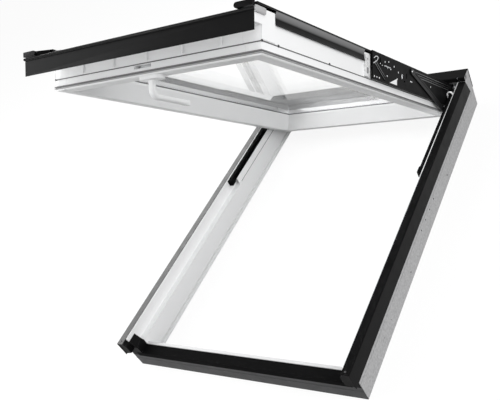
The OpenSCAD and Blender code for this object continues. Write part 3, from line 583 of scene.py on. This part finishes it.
class WINDOW_OT_sheets(DressOperator, bpy.types.Operator):
    """Folded black sheets and the apron"""
    bl_idname = "window.sheets"
    bl_label = "Dress sheets"

    def execute(self, context):
        f = finishes()
        self.dress_slot("black_cladding", finish("Black coat", f.coat, **SHEET, specular=0.024), f.fold)
        glossy = finish("Glossy black coat", f.coat, **SHEET, specular=0.5)
        change_finish(glossy, "left_stile_cladding")
        matt = finish("Matt black coat", f.coat, **SHEET | {"rough": 0.5}, specular=0.005)
        change_finish(matt, "sill_cladding")
        cover = finish("Lower cover coat", toned(f.coat, 1.6), **SHEET | {"mottle": 0.06}, specular=0.03)
        change_finish(cover, "bottom_cover")
        # The sash sheets get painted sheen: a paler stripe that stands in for their reflection.
        low, high = closed_box("right_sash_cladding")
        skirt = high[0] - 5 * MM
        painted_sheen = painted_sheen_finish("Black coat with painted sheen", f.coat, f.painted_sheen, low[2], high[2], skirt)
        change_finish(painted_sheen, "left_sash_cladding", "right_sash_cladding")
        apron = finish("Dark apron", f.apron, rough=0.5, mottle=0.06, rough_span=0.06, grain=(1200.0, 0.05),
                       specular=0.2)
        self.dress_slot("apron", apron, f.fold)
        return {"FINISHED"}


class WINDOW_OT_mouldings(DressOperator, bpy.types.Operator):
    """Plastic plugs, caps and housings"""
    bl_idname = "window.mouldings"
    bl_label = "Dress mouldings"

    def execute(self, context):
        f = finishes()
        black = finish("Black moulding", f.moulding, rough=0.42, **MOULDING)
        self.dress_slot("black_plastic", black, f.edge)
        grey = finish("Grey moulding", f.grey_moulding, rough=0.45, mottle=0.05, **GREY_MOULDING)
        self.dress_slot("grey_plastic", grey, f.fold)
        speckled = finish("Selector moulding", toned(f.white, 0.8), rough=0.4, mottle=0.22, rough_span=0.08,
                          grain=(900.0, 0.05), stretch=(22, 22, 22), specular=0.2)
        change_finish(speckled, "selector_case")
        return {"FINISHED"}


class WINDOW_OT_metalwork(DressOperator, bpy.types.Operator):
    """Arms, stays, channels, brackets and pins"""
    bl_idname = "window.metalwork"
    bl_label = "Dress metalwork"

    def execute(self, context):
        f = finishes()
        black = finish("Black steel", f.steel_black, rough=0.36, **STEEL, specular=0.02)
        self.dress_slot("black_steel", black, f.fold)
        channel = finish("Channel steel", f.steel_black, rough=0.55, **STEEL, specular=0.004)
        change_finish(channel, "left_channel", "right_channel")
        grey = finish("Stay steel", f.stay, rough=0.4, **STEEL | {"mottle": 0.1, "rough_span": 0.07},
                      specular=0.1)
        self.dress_slot("grey_steel", grey, f.fold)
        zinc = finish("Zinc plate", f.zinc, rough=0.34, mottle=0.1, rough_span=0.1, grain=(500.0, 0.06),
                      metallic=1.0)
        self.dress_slot("steel", zinc, f.fold)
        return {"FINISHED"}


class WINDOW_OT_glazing(DressOperator, bpy.types.Operator):
    """Two panes and the spacer between them"""
    bl_idname = "window.glazing"
    bl_label = "Dress glazing"

    def execute(self, context):
        f = finishes()
        self.dress_slot("glass", pane_finish("Clear pane", f.glass), 0.0)
        spacer = finish("Spacer metal", f.spacer, rough=0.32, mottle=0.04, rough_span=0.05,
                        grain=(600.0, 0.05), metallic=1.0)
        self.dress_slot("spacer", spacer, 0.0)
        return {"FINISHED"}


class WINDOW_OT_seals(DressOperator, bpy.types.Operator):
    """Rubber seals, with lips that run round the sash"""
    bl_idname = "window.seals"
    bl_label = "Make seals"

    def execute(self, context):
        f = finishes()
        dark = finish("Dark rubber", f.seal, **RUBBER)
        grey = finish("Grey rubber", f.room_seal, **RUBBER | {"mottle": 0.08})
        pale = finish("Pale rubber", f.fin, **RUBBER | {"mottle": 0.06})
        self.dress_slot("dark_rubber", dark, 0.0)
        self.dress_slot("grey_rubber", grey, 0.0)
        side = closed_box("sash_right_stile")[1]
        self.lip("sash_seal", "sash_seal_lip", side, 0.2, 0.8, dark, "dark_rubber")
        self.lip("room_seal", "room_seal_bulb", side, 0.45, 1.0, grey, "grey_rubber")
        self.lip("room_seal", "room_seal_fin", side, 0.0, 0.45, pale, "grey_rubber")
        self.cover_seals(dark)
        return {"FINISHED"}

    def cover_seals(self, material):
        """A thin round cord along the inner edge of each hinge cover."""
        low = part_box("right_hinge_cover")[0]
        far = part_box("right_hinge_bracket")[0]
        x, z = low.x + 0.9 * MM, low.z + 1.0 * MM
        path = np.array([[x, low.y + 16 * MM, z], [x, far.y - 4 * MM, z]])
        cords = both_sides(lambda sign: tube(path * (sign, 1, 1), 0.8 * MM, (sign, 0, 0)))
        mesh_piece("hinge_cover_seals", *cords, "frame", "dark_rubber", material)

    def lip(self, node, name, side, low, high, material, slot):
        """A half-round lip in a share of the seal's height: it stands out by the root of the sine of its
        height."""
        bottom, top = closed_box(node)
        reach = top[0] - side[0]
        t = np.linspace(0, 1, 9)
        out = reach * np.sqrt(np.sin(math.pi * t).clip(0))
        up = bottom[2] + (top[2] - bottom[2]) * (low + (high - low) * t)
        points, faces = frame_sweep(np.stack([out, up], axis=1), side[0], side[1])
        piece = mesh_piece(name, opened(points), faces, "sash", slot, material)
        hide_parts(node)


class WINDOW_OT_fasteners(DressOperator, bpy.types.Operator):
    """Domed screw heads, rivets and nails"""
    bl_idname = "window.fasteners"
    bl_label = "Make fasteners"
    NAIL_PLACES = np.array([[-63, 51], [-20, 51], [23, 50], [67, 51], [201, 24], [-197, 24]]) * MM
    NAIL_HEAD = np.array([(0.0, 0.0), (2.6, 0.0), (2.3, 0.25), (1.2, 0.4), (0.0, 0.4)]) * MM

    def execute(self, context):
        f = finishes()
        self.screws(finish("Dull screw steel", f.apron, rough=0.4, **SMALL_STEEL, specular=0.3))
        bright = finish("Bright zinc", f.zinc, rough=0.26, **SMALL_STEEL | {"mottle": 0.08}, metallic=1.0)
        self.rivets(bright)
        self.nails(finish("Nail steel", f.stay, rough=0.6, **SMALL_STEEL, specular=0.02))
        return {"FINISHED"}

    def screws(self, material):
        """A low dome with a round recess in its middle, on each screw's place: its height is the root of
        one less the square of its share of the radius."""
        boxes = islands("frame_screws", 12 * MM)
        low, high = boxes[0]
        radius, height = (high[0] - low[0]) / 2, high[2] - low[2]
        rim = np.linspace(1, 0.42, 6)
        dome = [(0.0, 0.0)] + [(radius * r, height * math.sqrt(1 - r * r)) for r in rim]
        recess = [(radius * 0.36, height * 0.3), (0.0, height * 0.3)]
        centres = [((a[0] + b[0]) / 2, (a[1] + b[1]) / 2, a[2]) for a, b in boxes]
        points, faces = turned_head(centres, (0, 0, 1), (1, 0, 0), dome + recess)
        piece = mesh_piece("screw_heads", points, faces, "frame", "steel", material)
        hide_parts("frame_screws")

    def rivets(self, material):
        """Domes on the arms, a quarter of an ellipse turned round: each keeps the width and height of the
        plain head that it replaces."""
        groups, shapes = {}, []
        for low, high in islands("arm_rivets", 10 * MM):
            sign = 1.0 if low[0] > 0 else -1.0
            key = (sign, round(high[0] - low[0], 5), round((high[1] - low[1]) / 2, 4))
            base = low[0] if sign > 0 else high[0]
            groups.setdefault(key, []).append((base, (low[1] + high[1]) / 2, (low[2] + high[2]) / 2))
        rim = np.linspace(0, 0.5 * math.pi, 7)
        for (sign, height, radius), centres in groups.items():
            dome = [(0.0, 0.0)] + [(radius * math.cos(a), height * math.sin(a)) for a in rim]
            shapes.append(turned_head(centres, (sign, 0, 0), (0, sign, 0), dome))
        piece = mesh_piece("rivet_heads", *stacked(shapes), "arms", "steel", material)
        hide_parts("arm_rivets")

    def nails(self, material):
        """Low round nail heads on the outer side of both stiles: four in the middle, one beyond each way."""
        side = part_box("frame_right_stile")[1].x
        heads = both_sides(lambda sign: side_heads(self.NAIL_PLACES, side, sign, self.NAIL_HEAD, 12))
        mesh_piece("stile_nails", *heads, "frame", "black_steel", material)


class WINDOW_OT_catches(bpy.types.Operator):
    """Hooks, springs, levers and lugs of the pivot catches on both arms, with painted highlights along each arm's
    rolled rib lines and a painted light wedge in each window
    """
    bl_idname = "window.catches"
    bl_label = "Make catches"
    bl_options = {"REGISTER", "UNDO"}

    # Places on an arm: (Y, Z) in millimetres, with the sash closed.
    HOOK_PATH = ((-47, 94), (-34, 101.5), (-21, 100.5), (-28, 90), (-50, 80))
    SPRING_ENDS = ((16, 84), (54, 84))
    LEVER_START = np.array([-42, 86])
    LEVER_WAY = np.array([0.866, -0.5])
    LEVER_ACROSS = np.array([0.5, 0.866])
    LEVER_LENGTH = 70
    LEVER_EDGES = (-4.0, 4.0)
    RIB_ENDS = (215, 505)
    RIB_HEIGHTS = (90.5, 97.0, 103.5)
    PAINTED_LIGHT_PATCH_OUTLINE = np.array([(52.5, 44.3), (101.6, 44.3), (101.6, 62.4)])
    PLUG_PLACES = np.array([(-42, 47), (-27, 47), (-12, 47)])
    PLUG_HEAD = np.array([(0.0, 0.0), (2.4, 0.0), (2.4, 2.5), (1.4, 3.0), (0.0, 3.1)])
    # Lugs: the path's ends, the radius and the rise over the arm's face.
    LUGS = ((((133, 67), (133, 81)), 1.4, 0.6), (((193, 70), (210, 70)), 2.2, -1.5),
            (((-9, 86), (-8, 86)), 1.8, 0.4), (((2, 83), (3, 83)), 1.8, 0.4))

    def execute(self, context):
        f = finishes()
        self.zinc = finish("Catch zinc", f.zinc, rough=0.3, **SMALL_STEEL, metallic=1.0)
        self.dull = finish("Dull zinc and painted rib highlight", toned(f.zinc, 0.3), rough=0.4, **SMALL_STEEL, metallic=1.0)
        # This white serves the painted light wedge in the arm's window, and the plugs.
        self.white = finish("White painted light patch and plugs", f.white, rough=0.35, mottle=0.02, rough_span=0.03,
                            grain=(900.0, 0.02))
        self.face = closed_box("right_arm_cladding")[1][0]
        for sign, side in SIDES:
            self.hook(sign, side)
            self.spring(sign, side)
            self.lever_edges(sign, side)
            self.lugs(sign, side)
            self.rib_highlights(sign, side)
            self.painted_light_patch(sign, side)
            self.plugs(sign, side)
        return {"FINISHED"}

    def fit(self, name, shape, slot, material, smooth=True):
        """A piece on the arms, from a shape drawn with the sash closed."""
        points, faces = shape
        mesh_piece(name, opened(points), faces, "arms", slot, material, smooth)

    def along_arm(self, places, sign, rise):
        """Points at (Y, Z) places on an arm's outer face, raised from it, all in millimetres."""
        places = np.asarray(places, float) * MM
        return np.column_stack([np.full(len(places), sign * (self.face + rise * MM)), places])

    def bar(self, corners, radius, sign, rise, rounds=1):
        """A round bar along an eased path on an arm."""
        return tube(self.along_arm(eased(corners, rounds), sign, rise), radius * MM, (sign, 0, 0))

    def hook(self, sign, side):
        """Bent wire that holds the sash at the pivot."""
        self.fit(side + "_catch_hook", self.bar(self.HOOK_PATH, 1.5, sign, 1.3, 3), "steel", self.zinc)

    def spring(self, sign, side):
        """Drawn spring below the pivot, as a helix along the arm."""
        ends = self.along_arm(self.SPRING_ENDS, sign, 1.75)
        self.fit(side + "_catch_spring", coil(*ends, 1.3 * MM, 0.4 * MM, 14), "steel", self.zinc)

    def lever_edges(self, sign, side):
        """Bright rolled edges on both sides of the catch lever."""
        starts = [self.LEVER_START + v * self.LEVER_ACROSS for v in self.LEVER_EDGES]
        way = self.LEVER_LENGTH * self.LEVER_WAY
        bars = [self.bar([start, start + way], 0.8, sign, 1.6) for start in starts]
        self.fit(side + "_lever_edges", stacked(bars), "steel", self.dull)

    def lugs(self, sign, side):
        """Small upright and lying lugs behind the catch."""
        bars = [self.bar(ends, radius, sign, rise) for ends, radius, rise in self.LUGS]
        self.fit(side + "_catch_lugs", stacked(bars), "steel", self.zinc)

    def rib_highlights(self, sign, side):
        """Painted highlights: three paler rods along the arm's low rolled rib lines on its upper part, standing in
        for the light their edges catch.
        """
        # Painted highlight: paler strips where the edges of the arm's rib lines would catch light.
        bars = [self.bar([(y, z) for y in self.RIB_ENDS], 1.3, sign, -0.5) for z in self.RIB_HEIGHTS]
        self.fit(side + "_arm_rib_painted_highlights", stacked(bars), "steel", self.dull)

    def painted_light_patch(self, sign, side):
        """White wedge in the arm's window: painted light, standing in for the lit white sash seen through it."""
        # Painted light: a white wedge where the sash behind the window would be lit.
        wedge = pad(self.PAINTED_LIGHT_PATCH_OUTLINE * MM, self.face - 3.8 * MM, self.face - 0.4 * MM, 0.2 * MM, sign)
        self.fit(side + "_arm_painted_light_patch", wedge, "white_pvc", self.white, smooth=False)

    def plugs(self, sign, side):
        """Pale plugs in the arm's row of holes."""
        heads = side_heads(self.PLUG_PLACES * MM, self.face - 2.5 * MM, sign, self.PLUG_HEAD * MM, 14)
        self.fit(side + "_arm_plugs", heads, "white_pvc", self.white)


class WINDOW_OT_corners(bpy.types.Operator):
    """Grey tabs at the sash's lower corners, the joints of its seal and plugs in the frame's lower ends"""
    bl_idname = "window.corners"
    bl_label = "Make corner pieces"
    bl_options = {"REGISTER", "UNDO"}

    # Places on the sash's side: (Y, Z) in millimetres, with the sash closed.
    TAB_MIDDLE = (-550, 98.6)
    TAB_HALF = (19.6, 7.0)
    JOINT_PLACES = np.array([[-539, 39.5], [-478.7, 39.7], [-261.5, 40.2]])
    JOINT_HEAD = np.array([(0.0, 0.0), (3.0, 0.0), (2.8, 1.6), (1.6, 2.6), (0.0, 2.8)])

    def execute(self, context):
        side = closed_box("sash_right_stile")[1][0]
        self.tabs(side)
        self.end_plugs()
        self.seal_joints(side)
        return {"FINISHED"}

    def tabs(self, side):
        """Grey tabs with round corners on the sash's sides."""
        grey = finish("Grey tab", finishes().tab, rough=0.5, mottle=0.06, **GREY_MOULDING, specular=0.3)
        outline = round_box(self.TAB_MIDDLE, self.TAB_HALF) * MM
        low, high = side + 1.2 * MM, side + 6.6 * MM
        points, faces = both_sides(lambda sign: pad(outline, low, high, 1.0 * MM, sign))
        mesh_piece("corner_tabs", opened(points), faces, "sash", "grey_plastic", grey)

    def seal_joints(self, side):
        """Round knobs where lengths of the sash seal meet."""
        rubber = finish("Seal joint rubber", toned(finishes().seal, 0.4),
                        **RUBBER | {"rough": 0.55, "specular": 0.2})
        places, head = self.JOINT_PLACES * MM, self.JOINT_HEAD * MM
        points, faces = both_sides(lambda sign: side_heads(places, side, sign, head, 14))
        mesh_piece("seal_joints", opened(points), faces, "sash", "dark_rubber", rubber)

    def end_plugs(self):
        """Black plugs over the steps at the lower ends of the frame's stiles: an outline across the stile,
        of the step and a slope up to the corner shoe, carried along it."""
        black = finish("Black plug", finishes().moulding, rough=0.45, **MOULDING)
        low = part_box("frame_right_stile")[0]
        shoe_low, shoe_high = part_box("right_corner_shoe")
        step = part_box("right_hinge_cover")[0].z
        inner, outer = low.x - 0.5 * MM, shoe_low.x + 1.5 * MM
        far = shoe_high.x - 2 * MM
        outline = np.array([(inner, step + 1.4 * MM), (inner, step - 34 * MM), (far, step - 34 * MM),
                            (far, step - 7 * MM), (outer, step - 3 * MM), (outer, shoe_high.z - 13 * MM),
                            (inner + 6 * MM, step + 6 * MM)])

        def plug(sign):
            """The outline's plate with its X and Y changed over, which turns its faces, on one side."""
            points, faces = pad(outline, low.y - 2.4 * MM, low.y + 32 * MM, 0.8 * MM)
            return points[:, [1, 0, 2]] * (sign, 1, 1), faces[:, ::-1] if sign > 0 else faces

        mesh_piece("stile_end_plugs", *both_sides(plug), "frame", "black_plastic", black, smooth=False)


class WINDOW_OT_stage(bpy.types.Operator):
    """Floor, lamps, sky and camera"""
    bl_idname = "window.stage"
    bl_label = "Set the stage"

    def execute(self, context):
        s = context.scene.window_stage
        self.floor(s)
        self.sky(s)
        self.lamps()
        self.camera(s)
        context.scene.view_settings.view_transform = "Standard"
        return {"FINISHED"}

    def floor(self, s):
        """A wide pale floor under the frame, white where it is seen and dimmed by the object's shadow."""
        half = 30.0
        corners = [(-half, -half, 0), (half, -half, 0), (half, half, 0), (-half, half, 0)]
        mesh = bpy.data.meshes.new("Floor")
        mesh.from_pydata(corners, [], [(0, 1, 2, 3)])
        material, tree, surface = new_surface("Pale floor")
        surface.inputs["Base Color"].default_value = (0.12, 0.12, 0.12, 1)
        surface.inputs["Roughness"].default_value = 0.9
        surface.inputs["Specular IOR Level"].default_value = 0.0
        surface.inputs["Emission Color"].default_value = (1, 1, 1, 1)
        glow = add(tree, "ShaderNodeMath", operation="MULTIPLY")
        glow.inputs[1].default_value = s.floor_glow
        tree.links.new(seen_rays(tree), glow.inputs[0])
        tree.links.new(glow.outputs["Value"], surface.inputs["Emission Strength"])
        mesh.materials.append(material)
        floor = placed("Floor", mesh)
        floor.location.z = -0.5 * MM

    def sky(self, s):
        """Even light all round, seen as white."""
        world = bpy.data.worlds.new("Soft sky")
        bpy.context.scene.world = world
        world.use_nodes = True
        tree = world.node_tree
        light = tree.nodes["Background"]
        light.inputs["Color"].default_value = (1, 1, 1, 1)
        level = add(tree, "ShaderNodeMapRange", To_Min=s.sky, To_Max=1.0)
        tree.links.new(seen_rays(tree), level.inputs["Value"])
        tree.links.new(level.outputs["Result"], light.inputs["Strength"])

    def lamps(self):
        """Soft lamps: a key from the right, fills from front and above, and a long strip on the left."""
        for name, place, target, size, power in LAMPS:
            lamp = bpy.data.lights.new(name, "AREA")
            lamp.shape = "RECTANGLE"
            lamp.size, lamp.size_y = size
            lamp.energy = power
            back = np.array(place) - np.array(target)
            back /= np.linalg.norm(back)
            right = np.cross((0, 0, 1), back)
            right /= np.linalg.norm(right)
            self.aim(placed(name, lamp), right, np.cross(back, right), place)

    def camera(self, s):
        """The camera from its place and the picture's right and up directions."""
        camera = bpy.data.cameras.new("Camera")
        camera.sensor_fit = "HORIZONTAL"
        camera.sensor_width = 36
        camera.lens = s.lens
        camera.shift_x, camera.shift_y = s.shift_x, s.shift_y
        camera.clip_end = 200
        piece = placed("Camera", camera)
        self.aim(piece, np.array(s.camera_right), np.array(s.camera_up), s.camera_place)
        bpy.context.scene.camera = piece

    def aim(self, piece, right, up, place):
        """Set a lamp or the camera at its place, with its X and Y along two directions."""
        turn = np.eye(4)
        turn[:3] = np.column_stack([right, up, np.cross(right, up), place])
        piece.matrix_world = Matrix(turn.tolist())


class WINDOW_PT_panel(bpy.types.Panel):
    """Settings and steps of the roof window"""
    bl_idname = "WINDOW_PT_panel"
    bl_label = "Roof window"
    bl_space_type = "VIEW_3D"
    bl_region_type = "UI"
    bl_category = "Roof window"

    def draw(self, context):
        layout = self.layout
        for group in (context.scene.window_finish, context.scene.window_stage):
            column = layout.column()
            for name in group.__annotations__:
                column.prop(group, name)
        for operator in OPERATORS:
            layout.operator(operator.bl_idname)


OPERATORS = (WINDOW_OT_profiles, WINDOW_OT_sheets, WINDOW_OT_mouldings, WINDOW_OT_metalwork,
             WINDOW_OT_glazing, WINDOW_OT_seals, WINDOW_OT_fasteners, WINDOW_OT_catches,
             WINDOW_OT_corners, WINDOW_OT_stage)
CLASSES = (WindowFinish, WindowStage, *OPERATORS, WINDOW_PT_panel)


def register():
    """Register the classes and hang the settings on the scene."""
    for cls in CLASSES:
        bpy.utils.register_class(cls)
    bpy.types.Scene.window_finish = PointerProperty(type=WindowFinish)
    bpy.types.Scene.window_stage = PointerProperty(type=WindowStage)


def unregister():
    """Take the settings off the scene and unregister the classes."""
    del bpy.types.Scene.window_stage
    del bpy.types.Scene.window_finish
    for cls in reversed(CLASSES):
        bpy.utils.unregister_class(cls)


def main():
    """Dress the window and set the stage."""
    register()
    bpy.ops.window.profiles()
    bpy.ops.window.sheets()
    bpy.ops.window.mouldings()
    bpy.ops.window.metalwork()
    bpy.ops.window.glazing()
    bpy.ops.window.seals()
    bpy.ops.window.fasteners()
    bpy.ops.window.catches()
    bpy.ops.window.corners()
    bpy.ops.window.stage()


if __name__ == "__main__":
    main()
